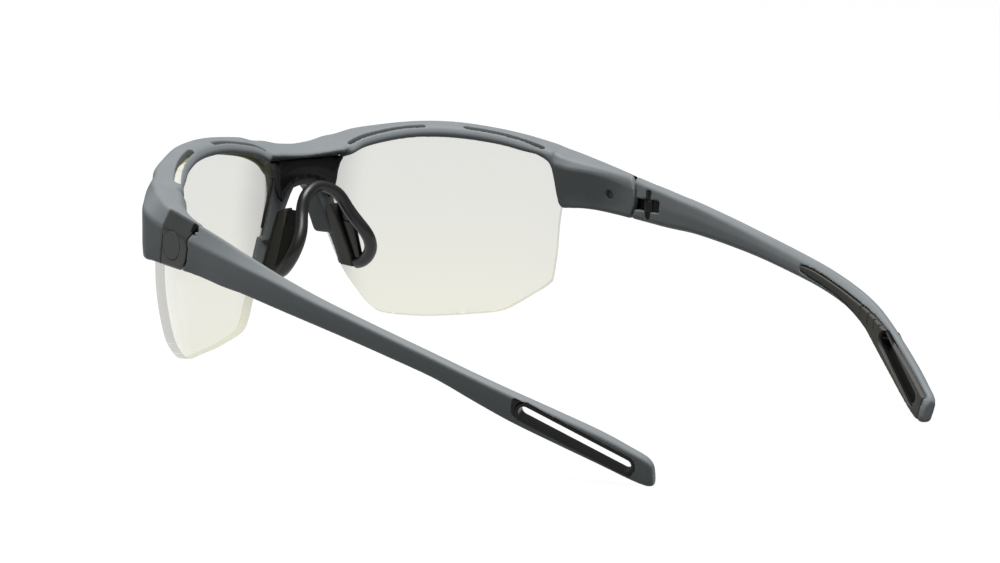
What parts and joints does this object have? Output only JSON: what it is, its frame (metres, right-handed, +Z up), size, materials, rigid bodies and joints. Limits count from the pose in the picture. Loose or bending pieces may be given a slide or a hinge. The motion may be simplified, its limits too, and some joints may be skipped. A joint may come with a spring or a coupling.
{
  "type": "sports sunglasses",
  "caption": "Half-rimless wraparound sports glasses with pale lenses, soft nose loop, and temples that tilt and fold on stacked hinges",
  "frame": {"origin": "On the floor plane under the middle of the whole pair of glasses, temples open", "axes": "+Z up, lenses face -Y, +X is the wearer's left, temples run back along +Y"},
  "size_m": [0.1432, 0.1717, 0.0507],
  "materials": {
    "frame": "matte moulded nylon, mid grey, fine texture",
    "lens": "clear moulded lens with a faint warm tint",
    "black_trim": "satin black moulding",
    "dark_trim": "matt dark grey moulding",
    "soft_rubber": "soft black rubber, slight sheen",
    "pad_rubber": "matt dark grey rubber",
    "pin": "dark steel pin"
  },
  "bodies": {
    "front": {"front_frame": "frame", "lens_left": "lens", "lens_right": "lens", "bridge_cover": "black_trim", "lens_seal_left": "soft_rubber", "lens_seal_right": "soft_rubber", "nose_loop": "soft_rubber", "pad_holder_left": "dark_trim", "pad_holder_right": "dark_trim", "tilt_pin_left": "pin", "tilt_pin_right": "pin"},
    "link_left": {"hinge_link_left": "black_trim", "pivot_cap_left": "dark_trim", "fold_pin_left": "pin"},
    "link_right": {"hinge_link_right": "black_trim", "pivot_cap_right": "dark_trim", "fold_pin_right": "pin"},
    "arm_left": {"temple_left": "frame", "cam_block_left": "black_trim", "ear_pad_left": "pad_rubber", "slot_liner_left": "black_trim"},
    "arm_right": {"temple_right": "frame", "cam_block_right": "black_trim", "ear_pad_right": "pad_rubber", "slot_liner_right": "black_trim"}
  },
  "joints": [
    {"name": "tilt_left", "type": "hinge", "parent": "front", "child": "link_left", "pos_m": [0.068, -0.03741, 0.0335], "axis": [1, 0, 0], "range_deg": [-3.5, 3]},
    {"name": "tilt_right", "type": "hinge", "parent": "front", "child": "link_right", "pos_m": [-0.068, -0.03741, 0.0335], "axis": [1, 0, 0], "range_deg": [-3.5, 3]},
    {"name": "fold_left", "type": "hinge", "parent": "link_left", "child": "arm_left", "pos_m": [0.0673, -0.02431, 0.0321], "axis": [0, 0, 1], "range_deg": [0, 88]},
    {"name": "fold_right", "type": "hinge", "parent": "link_right", "child": "arm_right", "pos_m": [-0.0673, -0.02431, 0.0321], "axis": [0, 0, -1], "range_deg": [0, 74]}
  ]
}
